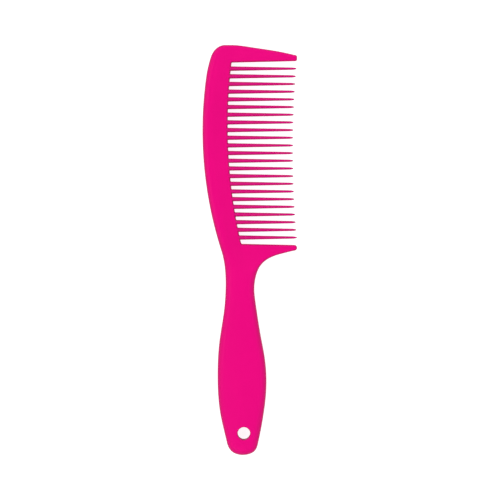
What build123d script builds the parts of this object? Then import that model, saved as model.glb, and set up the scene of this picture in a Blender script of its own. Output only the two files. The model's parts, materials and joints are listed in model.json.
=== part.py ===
from build123d import *

import os
from math import exp, sqrt

# A one-piece moulded wide tooth comb, lying flat.
# +X is the way the teeth point, +Y runs from the handle to the head, +Z is up
# through the thickness.  The origin is under the middle of the comb, on the
# surface that it lies on.  All lengths are in millimetres.

# ---- overall ----
LENGTH = 230.0
WIDTH = 53.0
TOP_Y = LENGTH / 2
TAIL_Y = -LENGTH / 2
BACK_X = -WIDTH / 2
TOOTH_SIDE_X = WIDTH / 2

# ---- thickness: half of it, from the parting plane to the face ----
GRIP_SWELL = 4.5  # middle of the grip, the thickest place
HANDLE_HALF = 3.6  # tail and neck
GRIP_SWELL_Y = -72.0
GRIP_SWELL_REACH = 30.0
HANDLE_CROWN = 1.5  # how far the handle's faces fall away towards its sides
HANDLE_AXIS_X = -4.5
HANDLE_HALF_WIDTH = 13.5
BACK_HALF = 3.4  # thick bead along the back of the head
CROWN_DROP = 0.6  # the bead thins by this much towards the top
CROWN_DROP_START_Y = 80.0
BEAD_THINS_FROM = 0.2  # of the way from the back to the tooth roots
BEAD_THINS_TO = 1.05
ROOT_HALF = 2.0  # where the teeth start
TIP_HALF = 1.1  # at the ends of the guard teeth
HEAD_HALF_TO_Y = 5.0  # below this the head's thickness turns into the handle's
HANDLE_HALF_FROM_Y = -18.0
PARTING_Z = GRIP_SWELL

# ---- curves of the head, each a circular arc seen from above ----
BACK_RADIUS = 220.0
BACK_MID_Y = 67.0
BACK_END_Y = 98.0
ROOT_RADIUS = 290.0
ROOT_MID_Y = 69.5
ROOT_MID_X = -12.45
TIP_LINE_RADIUS = 560.0
TIP_LINE_MID_Y = 56.0
TIP_LINE_MID_X = 24.1

# ---- where the head meets the handle and the guard teeth ----
HEAD_BASE_Y = 3.4
TOP_GUARD_ROOT_Y = 105.2
BOTTOM_GUARD_ROOT = (6.4, 3.05)
BOTTOM_GUARD_UNDER_Y = -8.2
TOP_GUARD_UNDER_END_Y = 106.0
TOP_GUARD_END_Y = 109.35
GUARD_CORNER = 1.0

# ---- thin teeth ----
TOOTH_COUNT = 23
TOOTH_PITCH = 4.308
FIRST_TOOTH_Y = 101.77
TOOTH_ROOT_WIDTH = 2.4
TOOTH_END_WIDTH = 1.1
TOOTH_POINT_LENGTH = 2.3
TOOTH_POINT_WIDTH = 0.45
TOOTH_ROOT_DEPTH = 3.8
TOOTH_END_DEPTH = 2.0
TOOTH_POINT_DEPTH = 0.9
TOOTH_CHAMFER = 0.3  # of the width, taken off each of the four long edges
TOOTH_OVERLAP = 3.0  # length of the raw tooth inside the spine, cut away again

# ---- hang hole ----
HOLE_X = -3.3
HOLE_Y = -102.7
HOLE_RADIUS = 3.5
HOLE_RIM_ROUND = 0.5

# ---- rounding of the outer edges ----
HANDLE_EDGE_ROUND = 1.6
SPINE_EDGE_ROUND = 1.3
GUARD_EDGE_ROUND = 0.7

ACROSS_STEP = 3.0  # spacing of the points that carry the faces, along X
ALONG_STEP = 9.0  # and along Y
FACE_TOLERANCE = 0.04
SLAB_MARGIN = 3.0
EDGE_TOLERANCE = 0.02
OFF_PARTING = 0.01  # an edge whose ends' heights multiply to more lies wholly on one side


def arc_x(y, mid_x, mid_y, radius):
    """X at height y of a long arc that bulges towards -X, deepest at mid_y."""
    return mid_x + radius - sqrt(radius**2 - (y - mid_y) ** 2)


def back_x(y):
    return arc_x(y, BACK_X, BACK_MID_Y, BACK_RADIUS)


def root_x(y):
    return arc_x(y, ROOT_MID_X, ROOT_MID_Y, ROOT_RADIUS)


def tip_x(y):
    return arc_x(y, TIP_LINE_MID_X, TIP_LINE_MID_Y, TIP_LINE_RADIUS)


def ramp(start, end, value):
    """0 before start, 1 after end, and a smooth step between them."""
    t = min(max((value - start) / (end - start), 0.0), 1.0)
    return t * t * (3 - 2 * t)


def head_half(x, y):
    """Half thickness of the head: a bead at the back, thinning to the tips."""
    bead = BACK_HALF - CROWN_DROP * ramp(CROWN_DROP_START_Y, TOP_Y, y)
    across = (x - back_x(y)) / (root_x(y) - back_x(y))
    thinned = bead + (ROOT_HALF - bead) * ramp(BEAD_THINS_FROM, BEAD_THINS_TO, across)
    past_root = max(x - root_x(y), 0.0) / (TOOTH_SIDE_X - ROOT_MID_X)
    return thinned - (ROOT_HALF - TIP_HALF) * past_root


def handle_half(x, y):
    """Half thickness of the handle: crowned across, swollen at the grip."""
    swell = (GRIP_SWELL - HANDLE_HALF) * exp(-(((y - GRIP_SWELL_Y) / GRIP_SWELL_REACH) ** 2))
    off_axis = ((x - HANDLE_AXIS_X) / HANDLE_HALF_WIDTH) ** 2
    return HANDLE_HALF + swell - HANDLE_CROWN * off_axis / (1 + off_axis / 2)


def half_thickness(x, y):
    to_handle = ramp(HEAD_HALF_TO_Y, HANDLE_HALF_FROM_Y, y)
    return head_half(x, y) * (1 - to_handle) + handle_half(x, y) * to_handle


def steps(start, end, spacing):
    """Evenly spaced values from before start to after end."""
    first = start - SLAB_MARGIN
    count = max(4, round((end + SLAB_MARGIN - first) / spacing))
    return [first + (end + SLAB_MARGIN - first) * i / count for i in range(count + 1)]


def thickness_slab(x_start, x_end, y_start, y_end):
    """A slab whose upper and lower faces have the comb's thickness."""
    columns = steps(x_start, x_end, ACROSS_STEP)
    rows = steps(y_start, y_end, ALONG_STEP)
    grid = [[Vector(x, y, half_thickness(x, y)) for x in columns] for y in rows]
    face = Face.make_surface_from_array_of_points(grid, tol=FACE_TOLERANCE)
    under_face = extrude(face, amount=4 * GRIP_SWELL, dir=(0, 0, -1))
    return under_face & mirror(under_face, about=Plane.XY)


def moulding(outline, edge_round, sharp_edges=()):
    """A closed outline given the comb's thickness, with its outer edges rounded.

    outline is a list, because added together its splines would become one,
    and a wall that long throws the solid's measured volume off by 2%.
    sharp_edges are tests of a point: where one is true the edge stays sharp,
    because another portion of the comb meets it there.
    """
    area = make_face(outline)
    box = area.bounding_box()
    prism = extrude(area, amount=2 * GRIP_SWELL, both=True)
    solid = prism & thickness_slab(box.min.X, box.max.X, box.min.Y, box.max.Y)
    rims = [edge for edge in solid.edges() if is_rim(edge)]
    outer = [edge for edge in rims if not any(test(edge @ 0.5) for test in sharp_edges)]
    return fillet(outer, edge_round)


def is_rim(edge):
    """True for the edges between a face of the comb and its side wall."""
    return (edge @ 0).Z * (edge @ 1).Z > OFF_PARTING


def save(solid, node):
    export_step(Pos(0, 0, PARTING_Z) * solid, f"parts/{node}.step")


# ---- outline points shared by two portions ----
head_base_back = Vector(back_x(HEAD_BASE_Y), HEAD_BASE_Y)
head_base_root = Vector(root_x(HEAD_BASE_Y), HEAD_BASE_Y)
bottom_guard_top = Vector(*BOTTOM_GUARD_ROOT)
bottom_guard_under = Vector(BOTTOM_GUARD_ROOT[0], BOTTOM_GUARD_UNDER_Y)
top_guard_under = Vector(root_x(TOP_GUARD_ROOT_Y), TOP_GUARD_ROOT_Y)
top_guard_upper = Vector(top_guard_under.X, TOP_Y)


def make_handle():
    """Grip, tail with the hang hole, neck and shoulder."""
    back_tangent = Vector(back_x(HEAD_BASE_Y - 1) - back_x(HEAD_BASE_Y), -1)
    back_side = Spline(
        head_base_back,
        (-15.3, -2.5),
        (-13.5, -19.5),
        (-14.4, -34),
        (-17.0, -51.5),
        (-18.0, -70),
        (-16.6, -91),
        (-12.8, -108),
        tangents=(back_tangent, (3, -13)),
    )
    tail_left = Spline(back_side @ 1, (-10.4, -112.7), (-4, TAIL_Y), tangents=((3, -13), (1, 0)))
    tail_right = Spline(tail_left @ 1, (2.95, -112.45), (5.0, -106.5), tangents=((1, 0), (2.4, 11)))
    front_side = Spline(
        tail_right @ 1,
        (8.0, -90),
        (9.3, -75),
        (8.4, -61),
        (5.9, -47),
        (3.4, -31),
        (2.5, -21),
        (3.5, -14.25),
        bottom_guard_under,
        tangents=((2.4, 11), (0.83, 1)),
    )
    guard_joint = Line(front_side @ 1, bottom_guard_top)
    guard_shelf = Line(bottom_guard_top, head_base_root)
    head_joint = Line(head_base_root, head_base_back)
    outline = [back_side, tail_left, tail_right, front_side, guard_joint, guard_shelf, head_joint]
    meets = (
        lambda p: abs(p.X - BOTTOM_GUARD_ROOT[0]) < EDGE_TOLERANCE and p.Y > BOTTOM_GUARD_UNDER_Y,
        lambda p: p.Y > BOTTOM_GUARD_ROOT[1] - EDGE_TOLERANCE,
    )
    solid = moulding(outline, HANDLE_EDGE_ROUND, meets)
    solid -= Pos(HOLE_X, HOLE_Y, 0) * Cylinder(HOLE_RADIUS, 4 * GRIP_SWELL)
    hole_rims = [edge for edge in solid.edges() if is_hole_rim(edge)]
    return fillet(hole_rims, HOLE_RIM_ROUND)


def is_hole_rim(edge):
    middle = edge @ 0.5
    off_axis = sqrt((middle.X - HOLE_X) ** 2 + (middle.Y - HOLE_Y) ** 2)
    return abs(off_axis - HOLE_RADIUS) < EDGE_TOLERANCE and is_rim(edge)


def make_spine():
    """The bowed back of the head, up to the rounded top corner."""
    back_end = Vector(back_x(BACK_END_Y), BACK_END_Y)
    back = ThreePointArc(head_base_back, (BACK_X, BACK_MID_Y), back_end)
    corner = Spline(
        back_end,
        (-22.75, 105.2),
        (-19.3, 112.6),
        (-14.0, TOP_Y),
        tangents=((BACK_END_Y - BACK_MID_Y, BACK_RADIUS), (1, 0)),
    )
    top = Line(corner @ 1, top_guard_upper)
    guard_joint = Line(top_guard_upper, top_guard_under)
    root = ThreePointArc(top_guard_under, (ROOT_MID_X, ROOT_MID_Y), head_base_root)
    handle_joint = Line(head_base_root, head_base_back)
    outline = [back, corner, top, guard_joint, root, handle_joint]
    meets = (
        lambda p: p.Y < HEAD_BASE_Y + EDGE_TOLERANCE,
        lambda p: p.X > (BACK_X + ROOT_MID_X) / 2 and p.Y < TOP_Y - EDGE_TOLERANCE,
    )
    return moulding(outline, SPINE_EDGE_ROUND, meets)


def make_bottom_guard_tooth():
    """The horn below the last thin tooth, sweeping out of the shoulder."""
    shelf = Line(bottom_guard_top, (24.9, 2.8))
    nose = ThreePointArc(shelf @ 1, (TOOTH_SIDE_X, 1.3), (25.1, -0.3))
    underside = Spline(
        nose @ 1,
        (20.2, -1.45),
        (12.7, -3.7),
        bottom_guard_under,
        tangents=((-1, -0.17), (-0.8, -1)),
    )
    outline = [shelf, nose, underside, Line(bottom_guard_under, bottom_guard_top)]
    joint_x = BOTTOM_GUARD_ROOT[0] + EDGE_TOLERANCE
    return moulding(outline, GUARD_EDGE_ROUND, (lambda p: p.X < joint_x,))


def make_top_guard_tooth():
    """The broad guard above the first thin tooth, with a blunt end."""
    upper = Spline(
        top_guard_upper,
        (1.0, 113.75),
        (15.5, 111.5),
        (TOOTH_SIDE_X - GUARD_CORNER, TOP_GUARD_END_Y),
        tangents=((1, 0), (1, -0.24)),
    )
    under_end = Vector(TOOTH_SIDE_X - GUARD_CORNER, TOP_GUARD_UNDER_END_Y)
    corner_mid = GUARD_CORNER * (1 - sqrt(0.5))
    upper_corner = ThreePointArc(
        upper @ 1,
        (TOOTH_SIDE_X - corner_mid, TOP_GUARD_END_Y - corner_mid),
        (TOOTH_SIDE_X, TOP_GUARD_END_Y - GUARD_CORNER),
    )
    lower_corner = ThreePointArc(
        (TOOTH_SIDE_X, TOP_GUARD_UNDER_END_Y + GUARD_CORNER),
        (TOOTH_SIDE_X - corner_mid, TOP_GUARD_UNDER_END_Y + corner_mid),
        under_end,
    )
    end = Line(upper_corner @ 1, lower_corner @ 0)
    underside = Line(under_end, top_guard_under)
    joint = Line(top_guard_under, top_guard_upper)
    outline = [upper, upper_corner, end, lower_corner, underside, joint]
    joint_x = top_guard_under.X + EDGE_TOLERANCE
    return moulding(outline, GUARD_EDGE_ROUND, (lambda p: p.X < joint_x,))


def tooth_section(x, y, width, depth):
    """An eight-sided section across a tooth: a tall rectangle with its corners cut."""
    plane = Plane(origin=(x, y, 0), x_dir=(0, 1, 0), z_dir=(1, 0, 0))
    side = width / 2
    face = depth / 2
    cut = width * TOOTH_CHAMFER
    corner_points = [(side, face - cut), (side - cut, face), (cut - side, face), (-side, face - cut)]
    lower_points = [(-across, -up) for across, up in corner_points]
    return plane * make_face(Polyline(*corner_points, *lower_points, close=True))


def make_tooth(y, spine):
    """One thin tooth: a slow taper, then a short point."""
    root = root_x(y)
    point = tip_x(y)
    stations = (
        (root - TOOTH_OVERLAP, TOOTH_ROOT_WIDTH, TOOTH_ROOT_DEPTH),
        (root, TOOTH_ROOT_WIDTH, TOOTH_ROOT_DEPTH),
        (point - TOOTH_POINT_LENGTH, TOOTH_END_WIDTH, TOOTH_END_DEPTH),
        (point, TOOTH_POINT_WIDTH, TOOTH_POINT_DEPTH),
    )
    sections = [tooth_section(x, y, width, depth) for x, width, depth in stations]
    return loft(sections, ruled=True) - spine


spine = make_spine()
handle = make_handle()

os.makedirs("parts", exist_ok=True)
save(handle, "handle")
save(spine, "spine")
save(make_top_guard_tooth(), "top_guard_tooth")
save(make_bottom_guard_tooth(), "bottom_guard_tooth")
for number in range(TOOTH_COUNT):
    tooth = make_tooth(FIRST_TOOTH_Y - number * TOOTH_PITCH, spine)
    save(tooth, f"tooth_{number + 1:02d}")
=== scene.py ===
"""Looks of a one-piece moulded wide tooth comb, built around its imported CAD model.

The body is one smooth surface: a rounded edge that follows the outline, filled
in with faces that carry the comb's thickness.  It is then cut where the CAD
nodes meet, so that every portion is a closed mesh and no seam shows.
Outline, thickness and widths are in millimetres; Blender's units are metres.
"""

import json
import math

import bmesh
import bpy
import numpy as np
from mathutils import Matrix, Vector
from mathutils.geometry import delaunay_2d_cdt


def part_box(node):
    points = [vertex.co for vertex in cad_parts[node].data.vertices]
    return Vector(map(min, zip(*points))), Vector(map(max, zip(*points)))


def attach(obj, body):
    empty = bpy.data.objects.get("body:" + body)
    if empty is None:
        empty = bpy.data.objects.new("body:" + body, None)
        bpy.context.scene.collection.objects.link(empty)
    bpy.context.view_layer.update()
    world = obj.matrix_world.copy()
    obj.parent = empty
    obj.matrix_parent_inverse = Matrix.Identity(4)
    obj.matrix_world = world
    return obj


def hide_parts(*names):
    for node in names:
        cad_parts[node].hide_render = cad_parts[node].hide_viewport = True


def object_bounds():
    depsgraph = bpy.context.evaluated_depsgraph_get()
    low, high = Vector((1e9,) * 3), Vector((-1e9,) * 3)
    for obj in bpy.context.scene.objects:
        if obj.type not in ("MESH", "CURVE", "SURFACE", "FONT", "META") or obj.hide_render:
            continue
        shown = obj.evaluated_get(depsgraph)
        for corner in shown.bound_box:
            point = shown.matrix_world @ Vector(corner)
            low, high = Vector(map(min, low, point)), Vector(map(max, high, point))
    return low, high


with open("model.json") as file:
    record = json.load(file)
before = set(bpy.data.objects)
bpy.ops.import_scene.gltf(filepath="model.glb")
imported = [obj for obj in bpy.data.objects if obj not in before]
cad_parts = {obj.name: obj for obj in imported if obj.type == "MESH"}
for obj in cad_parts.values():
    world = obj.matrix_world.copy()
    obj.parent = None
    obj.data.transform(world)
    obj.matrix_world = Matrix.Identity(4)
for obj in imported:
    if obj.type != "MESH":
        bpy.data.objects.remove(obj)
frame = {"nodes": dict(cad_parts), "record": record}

MM = 0.001
cad_low, cad_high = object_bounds()


def low(node):
    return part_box(node)[0] / MM


def high(node):
    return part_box(node)[1] / MM


# ---- read from the frame, mm ----
TOP_Y = cad_high.y / MM
TAIL_Y = cad_low.y / MM
BACK_X = cad_low.x / MM
TOOTH_SIDE_X = cad_high.x / MM
PARTING_Z = (low("handle").z + high("handle").z) / 2
HEAD_BASE_Y = low("spine").y
TOP_GUARD_JOINT_X = low("top_guard_tooth").x
BOTTOM_GUARD_JOINT_X = low("bottom_guard_tooth").x
TOOTH_NODES = sorted(node for node in frame["nodes"] if node.startswith("tooth_"))
HANG_HOLE = frame["record"]["mounts"][0]
HOLE_X, HOLE_Y = (place / MM for place in HANG_HOLE["pos_m"][:2])
HOLE_RADIUS = HANG_HOLE["dims"]["r_mm"]

# ---- thickness: half of it, as in the CAD, mm ----
GRIP_HALF = PARTING_Z  # the comb lies on its grip, where it is thickest
HANDLE_HALF = 3.6
GRIP_SWELL_Y = -72.0
GRIP_SWELL_REACH = 30.0
HANDLE_CROWN = 1.5
HANDLE_AXIS_X = -4.5
HANDLE_HALF_WIDTH = 13.5
BACK_HALF = 3.4
CROWN_DROP = 0.6
CROWN_DROP_START_Y = 80.0
BEAD_THINS_FROM = 0.2
BEAD_THINS_TO = 1.05
ROOT_HALF = 2.0
TIP_HALF = 1.1
HEAD_HALF_TO_Y = 5.0
HANDLE_HALF_FROM_Y = -18.0

# ---- outline, as in the CAD, mm ----
BACK_RADIUS = 220.0
BACK_MID_Y = 67.0
BACK_END_Y = 98.0
ROOT_RADIUS = 290.0
ROOT_MID_Y = 69.5
ROOT_MID_X = -12.45
TOP_GUARD_ROOT_Y = 105.2
BOTTOM_GUARD_UNDER_Y = -8.2
TOP_GUARD_UNDER_END_Y = 106.0
TOP_GUARD_END_Y = 109.35
GUARD_CORNER = 1.0  # radius of the corners at the top guard tooth's end
CORNER_RADIUS = 0.5  # where the root line meets a guard tooth
BOTTOM_GUARD_END = (24.95, 1.25)  # middle of the bottom guard tooth's round end
BOTTOM_GUARD_END_RADIUS = 1.55
CROWN_FLAT_X = -14.0  # where the curve of the crown runs into its flat top
HANDLE_RIGHT = (5.0, -106.5)  # where the tail's curve starts, on either side
HANDLE_LEFT = (-12.8, -108)
TAIL_X = -4.0

# ---- where a guard tooth is cut from the body, mm ----
TOP_GUARD_FROM_Y = TOP_GUARD_ROOT_Y - 2 * CORNER_RADIUS
BOTTOM_GUARD_FROM_Y = 2 * BOTTOM_GUARD_UNDER_Y

# ---- how far the rounding of an edge reaches in from the outline, mm ----
HANDLE_ROUND = 3.4
BACK_ROUND = 2.9
CROWN_ROUND = 2.2
GUARD_ROUND = 1.1
GUARD_END_ROUND = 0.8
ROOT_ROUND = 0.8
HOLE_ROUND = 0.7
ROUND_BLEND = 5.0  # length over which one rounding turns into the next

PARTING_RIDGE = 0.05  # height of the fine moulding line round the edge
PARTING_RIDGE_HALF = 0.12

# ---- mesh fineness, mm ----
OUTLINE_STEP = 0.5
CROWN_STEP = 0.25
SMALL_STEP = 0.12
FACE_STEP = 1.0
FACE_CLEARANCE = 0.6 * FACE_STEP  # from a face's edge to the points that fill it
ROUND_RINGS = 10
RIM_RINGS = 7
HOLE_POINTS = 72
MERGE_DISTANCE = 1e-4
CUT_TOLERANCE = 1e-5
ON_PARTING = 1e-6  # a point lower than this lies on the parting plane
FILL_TOLERANCE = 1e-7
JOIN_FACE_ANGLE = 0.2  # radians, within which two triangles become a quad
JOIN_SHAPE_ANGLE = 0.6


# ---------------------------------------------------------------- thickness
def ramp(start, end, value):
    t = np.clip((value - start) / (end - start), 0.0, 1.0)
    return t * t * (3 - 2 * t)


def arc_x(y, mid_x, mid_y, radius):
    return mid_x + radius - np.sqrt(radius**2 - (y - mid_y) ** 2)


def back_x(y):
    return arc_x(y, BACK_X, BACK_MID_Y, BACK_RADIUS)


def root_x(y):
    return arc_x(y, ROOT_MID_X, ROOT_MID_Y, ROOT_RADIUS)


def head_half(x, y):
    bead = BACK_HALF - CROWN_DROP * ramp(CROWN_DROP_START_Y, TOP_Y, y)
    across = (x - back_x(y)) / (root_x(y) - back_x(y))
    thinned = bead + (ROOT_HALF - bead) * ramp(BEAD_THINS_FROM, BEAD_THINS_TO, across)
    past_root = np.maximum(x - root_x(y), 0.0) / (TOOTH_SIDE_X - ROOT_MID_X)
    return thinned - (ROOT_HALF - TIP_HALF) * past_root


def handle_half(x, y):
    swell = (GRIP_HALF - HANDLE_HALF) * np.exp(-(((y - GRIP_SWELL_Y) / GRIP_SWELL_REACH) ** 2))
    off_axis = ((x - HANDLE_AXIS_X) / HANDLE_HALF_WIDTH) ** 2
    return HANDLE_HALF + swell - HANDLE_CROWN * off_axis / (1 + off_axis / 2)


def half_thickness(x, y):
    to_handle = ramp(HEAD_HALF_TO_Y, HANDLE_HALF_FROM_Y, y)
    return head_half(x, y) * (1 - to_handle) + handle_half(x, y) * to_handle


# ---------------------------------------------------------------- outline
def unit(vector):
    vector = np.asarray(vector, float)
    return vector / np.linalg.norm(vector)


def line(start, end, step=OUTLINE_STEP):
    """Points from start up to, but not including, end."""
    start = np.asarray(start, float)
    end = np.asarray(end, float)
    count = max(1, round(np.linalg.norm(end - start) / step))
    return start + (end - start) * np.arange(count)[:, None] / count


def arc(centre, radius, start_deg, end_deg, step=SMALL_STEP):
    count = max(3, round(abs(math.radians(end_deg - start_deg)) * radius / step))
    angles = np.radians(start_deg + (end_deg - start_deg) * np.arange(count) / count)
    return np.asarray(centre, float) + radius * np.column_stack([np.cos(angles), np.sin(angles)])


def long_arc(x_at, start_y, end_y):
    count = round(abs(end_y - start_y) / OUTLINE_STEP)
    y = start_y + (end_y - start_y) * np.arange(count) / count
    return np.column_stack([x_at(y), y])


def spline(points, start, end, step=OUTLINE_STEP):
    """A smooth curve through points that leaves along start and arrives along end."""
    points = np.array(points, float)
    spans = np.linalg.norm(np.diff(points, axis=0), axis=1)
    count = len(points)
    system = np.eye(count)
    wanted = np.zeros((count, 2))
    wanted[0] = unit(start)
    wanted[-1] = unit(end)
    for i in range(1, count - 1):
        before, after = spans[i - 1 : i + 1]
        system[i, i - 1 : i + 2] = after, 2 * (before + after), before
        rise = after * (points[i] - points[i - 1]) / before
        wanted[i] = 3 * (rise + before * (points[i + 1] - points[i]) / after)
    tangents = np.linalg.solve(system, wanted)
    run = []
    for i, span in enumerate(spans):
        steps = max(2, round(span / step))
        t = (np.arange(steps) / steps)[:, None]
        run.append(
            points[i] * (2 * t**3 - 3 * t**2 + 1)
            + points[i + 1] * (3 * t**2 - 2 * t**3)
            + span * tangents[i] * (t**3 - 2 * t**2 + t)
            + span * tangents[i + 1] * (t**3 - t**2)
        )
    return np.concatenate(run)


def outline():
    """The comb's outline without its thin teeth, clockwise from above.

    Returns the points, and for each how far its rounding reaches in.
    """
    under_guard = np.array([root_x(TOP_GUARD_ROOT_Y), TOP_GUARD_ROOT_Y])
    guard_x = TOOTH_SIDE_X - GUARD_CORNER
    guard_upper = np.array([guard_x, TOP_GUARD_END_Y - GUARD_CORNER])
    guard_lower = np.array([guard_x, TOP_GUARD_UNDER_END_Y + GUARD_CORNER])
    guard_end = np.array([guard_x, TOP_GUARD_UNDER_END_Y])
    guard_side = (GUARD_CORNER, 0)
    root_side = (CORNER_RADIUS, 0)
    top_corner = under_guard + (CORNER_RADIUS, -CORNER_RADIUS)
    shelf_start = np.array([root_x(HEAD_BASE_Y), HEAD_BASE_Y])
    shelf_end = np.array([24.9, 2.8])
    shelf_corner = shelf_start + (CORNER_RADIUS, CORNER_RADIUS)
    shoulder = (BOTTOM_GUARD_JOINT_X, BOTTOM_GUARD_UNDER_Y)
    tail = (TAIL_X, TAIL_Y)
    back_base = (back_x(HEAD_BASE_Y), HEAD_BASE_Y)
    back_end = (back_x(BACK_END_Y), BACK_END_Y)
    runs = [
        (long_arc(back_x, HEAD_BASE_Y, BACK_END_Y), BACK_ROUND),
        (
            spline(
                [back_end, (-22.75, 105.2), (-19.3, 112.6), (CROWN_FLAT_X, TOP_Y)],
                (BACK_END_Y - BACK_MID_Y, BACK_RADIUS),
                (1, 0),
                CROWN_STEP,
            ),
            BACK_ROUND,
        ),
        (line((CROWN_FLAT_X, TOP_Y), (under_guard[0], TOP_Y)), CROWN_ROUND),
        (
            spline(
                [(under_guard[0], TOP_Y), (1.0, 113.75), (15.5, 111.5), (guard_x, TOP_GUARD_END_Y)],
                (1, 0),
                (1, -0.24),
            ),
            GUARD_ROUND,
        ),
        (arc(guard_upper, GUARD_CORNER, 77, 0), GUARD_END_ROUND),
        (line(guard_upper + guard_side, guard_lower + guard_side, SMALL_STEP), GUARD_END_ROUND),
        (arc(guard_lower, GUARD_CORNER, 0, -89), GUARD_END_ROUND),
        (line(guard_end, under_guard + root_side), GUARD_ROUND),
        (arc(top_corner, CORNER_RADIUS, 90, 180), ROOT_ROUND),
        (long_arc(root_x, TOP_GUARD_ROOT_Y - CORNER_RADIUS, HEAD_BASE_Y + CORNER_RADIUS), ROOT_ROUND),
        (arc(shelf_corner, CORNER_RADIUS, 180, 270), ROOT_ROUND),
        (line(shelf_start + root_side, shelf_end), GUARD_ROUND),
        (arc(BOTTOM_GUARD_END, BOTTOM_GUARD_END_RADIUS, 90, -84), GUARD_END_ROUND),
        (
            spline([(25.1, -0.3), (20.2, -1.45), (12.7, -3.7), shoulder], (-1, -0.17), (-0.8, -1)),
            GUARD_ROUND,
        ),
        (
            spline(
                [
                    shoulder,
                    (3.5, -14.25),
                    (2.5, -21),
                    (3.4, -31),
                    (5.9, -47),
                    (8.4, -61),
                    (9.3, -75),
                    (8.0, -90),
                    HANDLE_RIGHT,
                ],
                (-0.83, -1),
                (-2.4, -11),
            ),
            HANDLE_ROUND,
        ),
        (spline([HANDLE_RIGHT, (2.95, -112.45), tail], (-2.4, -11), (-1, 0)), HANDLE_ROUND),
        (spline([tail, (-10.4, -112.7), HANDLE_LEFT], (-1, 0), (-3, 13)), HANDLE_ROUND),
        (
            spline(
                [
                    HANDLE_LEFT,
                    (-16.6, -91),
                    (-18.0, -70),
                    (-17.0, -51.5),
                    (-14.4, -34),
                    (-13.5, -19.5),
                    (-15.3, -2.5),
                    back_base,
                ],
                (-3, 13),
                (back_x(HEAD_BASE_Y + 1) - back_x(HEAD_BASE_Y), 1),
            ),
            HANDLE_ROUND,
        ),
    ]
    points = np.concatenate([run for run, _ in runs])
    reach = np.concatenate([np.full(len(run), width) for run, width in runs])
    return points, blended(points, reach)


def blended(points, reach):
    """reach, with each change spread along the outline, and never more than set."""
    spacing = np.linalg.norm(points - np.roll(points, 1, axis=0), axis=1)
    place = np.cumsum(spacing)
    total = place[-1]
    gap = np.abs(place[:, None] - place[None, :])
    gap = np.minimum(gap, total - gap)
    lowest = np.where(gap < ROUND_BLEND, reach[None, :], np.inf).min(1)
    weight = np.exp(-((gap / (ROUND_BLEND / 2)) ** 2)) * spacing[None, :]
    return (weight * lowest[None, :]).sum(1) / weight.sum(1)


def inward(points):
    """Unit vectors square to a clockwise outline, pointing into the comb."""
    ahead = np.roll(points, -1, axis=0) - points
    behind = points - np.roll(points, 1, axis=0)
    ahead_length = np.linalg.norm(ahead, axis=1, keepdims=True)
    behind_length = np.linalg.norm(behind, axis=1, keepdims=True)
    along = ahead / ahead_length * behind_length + behind / behind_length * ahead_length
    along /= np.linalg.norm(along, axis=1, keepdims=True)
    return np.column_stack([along[:, 1], -along[:, 0]])


# ---------------------------------------------------------------- body mesh
def edge_rings(points, reach):
    """Rings that round the edge over, from the parting line up to the face."""
    towards = inward(points)
    base = points - towards * PARTING_RIDGE
    rings = [np.column_stack([base, np.zeros(len(points))])]
    lead = math.degrees(math.asin(PARTING_RIDGE_HALF / ROOT_HALF))
    for angle in np.radians(np.linspace(lead, 90, ROUND_RINGS)):
        plan = points + towards * (reach * (1 - math.cos(angle)))[:, None]
        rise = half_thickness(plan[:, 0], plan[:, 1]) * math.sin(angle)
        rings.append(np.column_stack([plan, rise]))
    return rings


def hole_rings():
    """Rings of the hang hole: a straight wall, then a rounded rim."""
    turn = np.linspace(0, 2 * math.pi, HOLE_POINTS, endpoint=False)
    spoke = np.column_stack([np.cos(turn), np.sin(turn)])
    rings = []
    wall = [(0.0, 0.0), (0.5, 0.0)]
    rim = [(1.0, angle) for angle in np.linspace(0, 90, RIM_RINGS)]
    for share, angle in wall + rim:
        radius = HOLE_RADIUS + HOLE_ROUND * (1 - math.cos(math.radians(angle)))
        plan = spoke * radius + (HOLE_X, HOLE_Y)
        top = half_thickness(plan[:, 0], plan[:, 1])
        rise = share * (top - HOLE_ROUND) + HOLE_ROUND * math.sin(math.radians(angle))
        rings.append(np.column_stack([plan, rise]))
    return rings


def inside(loop, places):
    """For each place, whether it is within the closed loop."""
    start = loop[None, :, :]
    end = np.roll(loop, -1, axis=0)[None, :, :]
    x = places[:, None, 0]
    y = places[:, None, 1]
    straddles = (start[..., 1] > y) != (end[..., 1] > y)
    with np.errstate(divide="ignore", invalid="ignore"):
        slope = (end[..., 0] - start[..., 0]) / (end[..., 1] - start[..., 1])
        crossing = start[..., 0] + (y - start[..., 1]) * slope
    return (straddles & (x < crossing)).sum(1) % 2 == 1


def nearest(loop, places):
    return np.sqrt(((places[:, None, :] - loop[None, :, :]) ** 2).sum(2)).min(1)


def ring_edges(first, count):
    """Pairs of numbers that join count points into a ring, from the point numbered first."""
    return [(first + i, first + (i + 1) % count) for i in range(count)]


def face_fill(loop, hole):
    """Triangles between the loop and the hole, with an even grid of points inside."""
    grid_x = np.arange(math.floor(loop[:, 0].min()), loop[:, 0].max(), FACE_STEP)
    grid_y = np.arange(math.floor(loop[:, 1].min()), loop[:, 1].max(), FACE_STEP)
    grid = np.array([(x, y) for y in grid_y for x in grid_x])
    grid = grid[inside(loop, grid) & ~inside(hole, grid)]
    grid = grid[np.minimum(nearest(loop, grid), nearest(hole, grid)) > FACE_CLEARANCE]
    places = np.concatenate([loop, hole, grid])
    edges = ring_edges(0, len(loop)) + ring_edges(len(loop), len(hole))
    filled = delaunay_2d_cdt([Vector(p) for p in places], edges, [], 0, FILL_TOLERANCE)
    corners = np.array([tuple(p) for p in filled[0]])
    triangles = np.array(filled[2])
    middles = corners[triangles].mean(1)
    kept = triangles[inside(loop, middles) & ~inside(hole, middles)]
    return corners, kept


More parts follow.
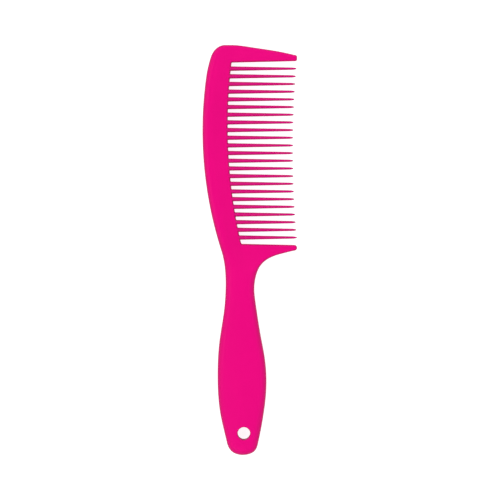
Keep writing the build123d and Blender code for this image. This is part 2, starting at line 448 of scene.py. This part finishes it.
def add_rings(shell, rings):
    """Adds rings to the shell with a strip of faces between each two, and returns the last."""
    previous = None
    for ring in rings:
        current = [shell.verts.new(place) for place in ring]
        if previous:
            for i in range(len(current)):
                j = (i + 1) % len(current)
                shell.faces.new([previous[i], previous[j], current[j], current[i]])
        previous = current
    return previous


def upper_half():
    """The comb above its parting plane, which is z = 0 here."""
    points, reach = outline()
    edge = edge_rings(points, reach)
    rim = hole_rings()
    shell = bmesh.new()
    add_rings(shell, edge)
    add_rings(shell, [ring[::-1] for ring in rim])
    corners, triangles = face_fill(edge[-1][:, :2], rim[-1][:, :2])
    heights = half_thickness(corners[:, 0], corners[:, 1])
    face_verts = [shell.verts.new((x, y, z)) for (x, y), z in zip(corners, heights)]
    for triangle in triangles:
        shell.faces.new([face_verts[i] for i in triangle])
    bmesh.ops.remove_doubles(shell, verts=shell.verts, dist=MERGE_DISTANCE)
    bmesh.ops.join_triangles(
        shell,
        faces=[face for face in shell.faces if len(face.verts) == 3],
        angle_face_threshold=JOIN_FACE_ANGLE,
        angle_shape_threshold=JOIN_SHAPE_ANGLE,
    )
    bmesh.ops.recalc_face_normals(shell, faces=shell.faces)
    return shell


def slice_where(shell, chosen, place, normal):
    """Cuts the chosen faces along a plane, and leaves both sides joined."""
    faces = [face for face in shell.faces if chosen(face.calc_center_median())]
    edges = {edge for face in faces for edge in face.edges}
    verts = {vert for face in faces for vert in face.verts}
    geometry = faces + list(edges) + list(verts)
    bmesh.ops.bisect_plane(
        shell, geom=geometry, plane_co=place, plane_no=normal, dist=CUT_TOLERANCE
    )


def portion_of(middle):
    """The CAD node that a point of the body belongs to."""
    if middle.y > HEAD_BASE_Y:
        in_guard = middle.x > TOP_GUARD_JOINT_X and middle.y > TOP_GUARD_FROM_Y
        return "top_guard_tooth" if in_guard else "spine"
    in_guard = middle.x > BOTTOM_GUARD_JOINT_X and middle.y > BOTTOM_GUARD_FROM_Y
    return "bottom_guard_tooth" if in_guard else "handle"


def closed_portion(shell, name):
    """A mesh of one portion: its upper faces, their mirror image and its end faces."""
    whole = bmesh.new()
    copies = {}
    for face in shell.faces:
        if portion_of(face.calc_center_median()) != name:
            continue
        for side in (1, -1):
            corners = []
            for vert in face.verts:
                key = (vert.index, side if vert.co.z > ON_PARTING else 0)
                if key not in copies:
                    place = (vert.co.x, vert.co.y, PARTING_Z + side * vert.co.z)
                    copies[key] = whole.verts.new(Vector(place) * MM)
                corners.append(copies[key])
            whole.faces.new(corners[::side]).smooth = True
    open_edges = [edge for edge in whole.edges if edge.is_boundary]
    caps = bmesh.ops.holes_fill(whole, edges=open_edges)["faces"]
    for edge in open_edges:
        edge.smooth = False
    for cap in caps:
        cap.smooth = False
    bmesh.ops.triangulate(whole, faces=caps)
    bmesh.ops.recalc_face_normals(whole, faces=whole.faces)
    return whole


def as_piece(mesh_data, name, *replaced):
    """A finished piece of the comb from mesh data, riding on the body."""
    mesh = bpy.data.meshes.new(name)
    mesh_data.to_mesh(mesh)
    mesh_data.free()
    piece = bpy.data.objects.new(name, mesh)
    bpy.context.scene.collection.objects.link(piece)
    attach(piece, "root")
    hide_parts(*replaced)
    return piece


def make_body():
    shell = upper_half()
    slice_where(shell, lambda p: True, (0, HEAD_BASE_Y, 0), (0, 1, 0))
    slice_where(shell, lambda p: p.y > TOP_GUARD_FROM_Y, (TOP_GUARD_JOINT_X, 0, 0), (1, 0, 0))
    slice_where(
        shell,
        lambda p: BOTTOM_GUARD_FROM_Y < p.y < HEAD_BASE_Y,
        (BOTTOM_GUARD_JOINT_X, 0, 0),
        (1, 0, 0),
    )
    shell.verts.index_update()
    names = ("handle", "spine", "top_guard_tooth", "bottom_guard_tooth")
    pieces = [as_piece(closed_portion(shell, name), name + "_moulding", name) for name in names]
    shell.free()
    return pieces


# ---------------------------------------------------------------- thin teeth
# In mm, but for shares and counts.
TOOTH_END_WIDTH = 1.1  # where the point starts
TOOTH_END_DEPTH = 2.0
TOOTH_POINT_LENGTH = 2.3  # of the tip that narrows to a point
TOOTH_POINT_CURVE = 1.5  # 1 is a straight cone, more is a fuller, rounder point
TOOTH_TIP_ROUND = 0.35  # length of the rounded end of the point
TOOTH_TIP_SHARE = 0.6  # of the end width, left where the rounded end starts
TOOTH_TIP_DEPTH_SHARE = 0.55
TOOTH_LAST_SHARE = 0.05  # of the rounded end's size, left at the very tip
TOOTH_INSIDE = 1.6  # length that reaches into the spine
ROOT_FLARE = 0.45  # radius of the fillet between a tooth and the root line
ROOT_FULLNESS = 0.12  # how much wider a rounded tooth is than the CAD's chamfered one
TIP_FULLNESS = 0.22
TIP_REACH = 0.15  # how far a rounded point reaches past the CAD's blunt one
ROOT_SQUARENESS = 2.5  # superellipse power of a tooth's section
TIP_SQUARENESS = 2.0
TOOTH_SIDES = 28
FLARE_RINGS = 9
SHAFT_RINGS = 22
POINT_RINGS = 9
END_RINGS = 8


def tooth_stations(root, tip):
    """X along a tooth, close together at its root and its point."""
    inside_spine = [root - TOOTH_INSIDE, root - TOOTH_INSIDE / 2]
    flare = root + ROOT_FLARE * (1 - np.cos(np.linspace(0, math.pi / 2, FLARE_RINGS)))
    point = tip - TOOTH_POINT_LENGTH
    shaft = np.linspace(flare[-1], point, SHAFT_RINGS)[1:]
    narrowing = np.linspace(point, tip - TOOTH_TIP_ROUND, POINT_RINGS)[1:]
    end = tip - TOOTH_TIP_ROUND * (1 - np.sin(np.linspace(0, math.pi / 2, END_RINGS)))[1:]
    return np.concatenate([inside_spine, flare, shaft, narrowing, end])


def tooth_size(x, root, tip, root_width):
    """Width and depth of a tooth at x, and how far along its shaft that is, 0 to 1."""
    point = tip - TOOTH_POINT_LENGTH
    rounded_end = tip - TOOTH_TIP_ROUND
    along = np.clip((x - root) / (point - root), 0, 1)
    root_full = root_width + ROOT_FULLNESS
    width = root_full + (TOOTH_END_WIDTH + TIP_FULLNESS - root_full) * along
    depth = 2 * ROOT_HALF + (TOOTH_END_DEPTH - 2 * ROOT_HALF) * along
    from_wall = np.clip((x - root) / ROOT_FLARE, 0, 1)
    width = width + 2 * ROOT_FLARE * (1 - np.sqrt(1 - (1 - from_wall) ** 2))
    into_point = np.clip((x - point) / (rounded_end - point), 0, 1) ** TOOTH_POINT_CURVE
    width = width * (1 - (1 - TOOTH_TIP_SHARE) * into_point)
    depth = depth * (1 - (1 - TOOTH_TIP_DEPTH_SHARE) * into_point)
    into_end = np.clip((x - rounded_end) / TOOTH_TIP_ROUND, 0, 1)
    rounding = max(math.sqrt(1 - into_end**2), TOOTH_LAST_SHARE)
    return width * rounding, depth * rounding, along


def superellipse(width, depth, squareness):
    """Points round a tooth's section: across the tooth, and up."""
    turn = np.linspace(0, 2 * math.pi, TOOTH_SIDES, endpoint=False)
    power = 2 / squareness
    across = np.sign(np.cos(turn)) * np.abs(np.cos(turn)) ** power * width / 2
    up = np.sign(np.sin(turn)) * np.abs(np.sin(turn)) ** power * depth / 2
    return across, up


def make_tooth(node):
    corner_low = low(node)
    corner_high = high(node)
    root = corner_low.x
    tip = corner_high.x + TIP_REACH
    middle_y = (corner_low.y + corner_high.y) / 2
    root_width = corner_high.y - corner_low.y
    tooth = bmesh.new()
    rings = []
    for x in tooth_stations(root_x(middle_y), tip):
        width, depth, along = tooth_size(x, root, tip, root_width)
        squareness = ROOT_SQUARENESS + (TIP_SQUARENESS - ROOT_SQUARENESS) * along
        across, up = superellipse(width, depth, squareness)
        ring = np.column_stack([np.full(TOOTH_SIDES, x), middle_y + across, PARTING_Z + up])
        rings.append(ring * MM)
    add_rings(tooth, rings)
    bmesh.ops.holes_fill(tooth, edges=[edge for edge in tooth.edges if edge.is_boundary])
    bmesh.ops.recalc_face_normals(tooth, faces=tooth.faces)
    for face in tooth.faces:
        face.smooth = True
    return as_piece(tooth, node + "_moulding", node)


# ---------------------------------------------------------------- material
# Each is the colour in a darker cloud, in a paler one, and the painted shade where the surface turns
# to the side.
# The thin teeth are the same plastic as the body, painted a little deeper as shade.
BODY_PINK_AND_SIDE_SHADE = ((0.795, 0.0004, 0.199, 1), (0.895, 0.0010, 0.227, 1), (0.37, 0.0003, 0.074, 1))
SHADED_TOOTH_PINK = ((0.675, 0.0045, 0.190, 1), (0.745, 0.006, 0.211, 1), (0.36, 0.002, 0.088, 1))
FULL_SIDE_SHADE_LEVEL = 0.1  # upward part of the normal, at which the surface counts as a side and the painted shade is full
FACE_LEVEL = 1.0
PLASTIC_IOR = 1.46
PLASTIC_SPECULAR = 0.07
ROUGHNESS = (0.40, 0.52)
CLOUD_NOISE = (28.0, 3.0)  # scale and detail
POLISH_NOISE = (160.0, 4.0)
GRAIN_NOISE = (2200.0, 3.0)
WAVE_NOISE = (90.0, 1.0)
BUMP_STRENGTH = 0.5
GRAIN_DEPTH = 0.00009  # m
WAVE_DEPTH = 0.0003


def node_of(tree, kind, **settings):
    node = tree.nodes.new(kind)
    for key, value in settings.items():
        setattr(node, key, value)
    return node


def colour_socket(sockets, name):
    """A mix node has a socket of each type under one name: this is the colour's."""
    return next(each for each in sockets if each.name == name and each.type == "RGBA")


def noise(tree, place, scale, detail):
    """Noise fixed to the object: the socket that gives its value, 0 to 1."""
    texture = node_of(tree, "ShaderNodeTexNoise")
    texture.inputs["Scale"].default_value = scale
    texture.inputs["Detail"].default_value = detail
    tree.links.new(place.outputs["Object"], texture.inputs["Vector"])
    return texture.outputs["Fac"]


def bump(tree, height, depth, beneath=None):
    """Relief on the surface, or on the relief beneath it: the socket that gives its normal."""
    relief = node_of(tree, "ShaderNodeBump")
    relief.inputs["Strength"].default_value = BUMP_STRENGTH
    relief.inputs["Distance"].default_value = depth
    tree.links.new(height, relief.inputs["Height"])
    if beneath is not None:
        tree.links.new(beneath, relief.inputs["Normal"])
    return relief.outputs["Normal"]


def map_range(tree, value, from_range, to_range):
    """A value moved from one range to another: the socket that gives it."""
    node = node_of(tree, "ShaderNodeMapRange")
    node.inputs["From Min"].default_value, node.inputs["From Max"].default_value = from_range
    node.inputs["To Min"].default_value, node.inputs["To Max"].default_value = to_range
    tree.links.new(value, node.inputs["Value"])
    return node.outputs["Result"]


def mixed(tree, factor, first, second):
    """Two colours, or sockets that give them, mixed by a factor: the socket that gives the mix."""
    mix = node_of(tree, "ShaderNodeMix", data_type="RGBA")
    tree.links.new(factor, mix.inputs["Factor"])
    for name, colour in (("A", first), ("B", second)):
        into = colour_socket(mix.inputs, name)
        if isinstance(colour, bpy.types.NodeSocket):
            tree.links.new(colour, into)
        else:
            into.default_value = colour
    return colour_socket(mix.outputs, "Result")


def pink_plastic_with_side_shade(name, darker, paler, side):
    """Matte to satin moulded plastic: faint flow clouds, uneven polish, slight waves, fine grain, and
    painted shade in the colour side where the surface turns to the side.
    """
    material = bpy.data.materials.new(name)
    material.use_nodes = True
    tree = material.node_tree
    shader = tree.nodes["Principled BSDF"]
    shader.inputs["IOR"].default_value = PLASTIC_IOR
    shader.inputs["Specular IOR Level"].default_value = PLASTIC_SPECULAR
    place = node_of(tree, "ShaderNodeTexCoord")
    tint = mixed(tree, noise(tree, place, *CLOUD_NOISE), darker, paler)

    # Painted shade: the colour deepens where the surface turns down to the side.
    tilt = node_of(tree, "ShaderNodeSeparateXYZ")
    level = node_of(tree, "ShaderNodeMath", operation="ABSOLUTE")
    tree.links.new(place.outputs["Normal"], tilt.inputs["Vector"])
    tree.links.new(tilt.outputs["Z"], level.inputs[0])
    side_shade_share = map_range(tree, level.outputs["Value"], (FULL_SIDE_SHADE_LEVEL, FACE_LEVEL), (1.0, 0.0))
    # The side colour is painted shade, mixed in by how far the surface turns to the side.
    tree.links.new(mixed(tree, side_shade_share, tint, side), shader.inputs["Base Color"])

    rough = map_range(tree, noise(tree, place, *POLISH_NOISE), (0.0, 1.0), ROUGHNESS)
    tree.links.new(rough, shader.inputs["Roughness"])

    waves = bump(tree, noise(tree, place, *WAVE_NOISE), WAVE_DEPTH)
    grain = bump(tree, noise(tree, place, *GRAIN_NOISE), GRAIN_DEPTH, waves)
    tree.links.new(grain, shader.inputs["Normal"])
    return material


def paint(pieces, material):
    for piece in pieces:
        piece.data.materials.clear()
        piece.data.materials.append(material)


# ---------------------------------------------------------------- studio
# In metres and watts.
FLOOR_HALF = 6.0
FLOOR_GREY = 0.36
FLOOR_GLOW = 0.90
HORIZON_GLOW = 1.05
CEILING_GLOW = 0.05
WALL_GLOW = ((0.25, 0.9), (0.5, 0.6), (0.75, 0.15))  # how far up from the horizon, how bright
LAMP_SIZE = 0.7
LAMP_HEIGHT = 0.93
LAMPS = (
    ("left", -0.75, 0.2, 4.6),
    ("right", 0.75, -0.2, 1.7),
    ("head", 0.2, 0.75, 3.7),
    ("tail", -0.2, -0.75, 3.5),
)
LENS = 150.0  # mm, as the sensor
SENSOR_WIDTH = 36.0
VIEW_REACH = 20.0
VIEW_HEIGHT = 1.22  # in lengths of the comb
VIEW_SIDE = 0.00012  # how far right of the comb's middle the camera stands


def grey(strength):
    return (strength, strength, strength, 1)


def floor():
    """A pale sheet that glows a little, like a light table, so shadows stay faint."""
    mesh = bpy.data.meshes.new("floor")
    corners = [(x * FLOOR_HALF, y * FLOOR_HALF, 0) for x, y in ((-1, -1), (1, -1), (1, 1), (-1, 1))]
    mesh.from_pydata(corners, [], [(0, 1, 2, 3)])
    ground = bpy.data.objects.new("floor", mesh)
    bpy.context.scene.collection.objects.link(ground)
    material = bpy.data.materials.new("pale_floor")
    material.use_nodes = True
    shader = material.node_tree.nodes["Principled BSDF"]
    shader.inputs["Base Color"].default_value = grey(FLOOR_GREY)
    shader.inputs["Roughness"].default_value = 0.9
    shader.inputs["Specular IOR Level"].default_value = 0.0
    shader.inputs["Emission Color"].default_value = grey(1)
    shader.inputs["Emission Strength"].default_value = FLOOR_GLOW
    mesh.materials.append(material)


def soft_box(name, place, watts, middle):
    lamp = bpy.data.lights.new(name, "AREA")
    lamp.shape = "DISK"
    lamp.size = LAMP_SIZE
    lamp.energy = watts
    light = bpy.data.objects.new(name, lamp)
    bpy.context.scene.collection.objects.link(light)
    light.location = place
    light.rotation_euler = (middle - Vector(place)).to_track_quat("-Z", "Y").to_euler()


def room():
    """Pale walls and a dim ceiling, all round the comb."""
    world = bpy.data.worlds.new("studio")
    bpy.context.scene.world = world
    world.use_nodes = True
    tree = world.node_tree
    place = node_of(tree, "ShaderNodeTexCoord")
    height = node_of(tree, "ShaderNodeSeparateXYZ")
    walls = node_of(tree, "ShaderNodeValToRGB")
    stops = walls.color_ramp.elements  # a new ramp has one stop at 0 and one at 1
    stops[0].color = grey(HORIZON_GLOW)
    stops[1].color = grey(CEILING_GLOW)
    for height_share, strength in WALL_GLOW:
        stops.new(height_share).color = grey(strength)
    tree.links.new(place.outputs["Generated"], height.inputs["Vector"])
    tree.links.new(height.outputs["Z"], walls.inputs["Fac"])
    tree.links.new(walls.outputs["Color"], tree.nodes["Background"].inputs["Color"])


def studio(middle):
    """The room, and soft lamps on four sides, the left one strongest."""
    room()
    for name, x, y, watts in LAMPS:
        soft_box(name, (x, y, LAMP_HEIGHT), watts, middle)
    view = bpy.context.scene.view_settings
    view.view_transform = "Standard"
    view.look = "None"


def camera(middle):
    """Looks straight down on the comb, head up, from far enough to look flat."""
    data = bpy.data.cameras.new("camera")
    data.lens = LENS
    data.sensor_width = SENSOR_WIDTH
    data.clip_end = VIEW_REACH
    seen = (cad_high.y - cad_low.y) * VIEW_HEIGHT
    eye = bpy.data.objects.new("camera", data)
    bpy.context.scene.collection.objects.link(eye)
    eye.location = middle + Vector((VIEW_SIDE, 0, seen * LENS / SENSOR_WIDTH))
    eye.rotation_euler = (0, 0, 0)
    bpy.context.scene.camera = eye


middle = (cad_low + cad_high) / 2
camera(middle)
floor()
studio(middle)

# The body's material carries painted shade along its sides.
paint(make_body(), pink_plastic_with_side_shade("body_plastic_side_shaded", *BODY_PINK_AND_SIDE_SHADE))
# The thin teeth take a deeper copy of the body's colours: painted shade.
paint([make_tooth(node) for node in TOOTH_NODES], pink_plastic_with_side_shade("tooth_plastic_shaded", *SHADED_TOOTH_PINK))
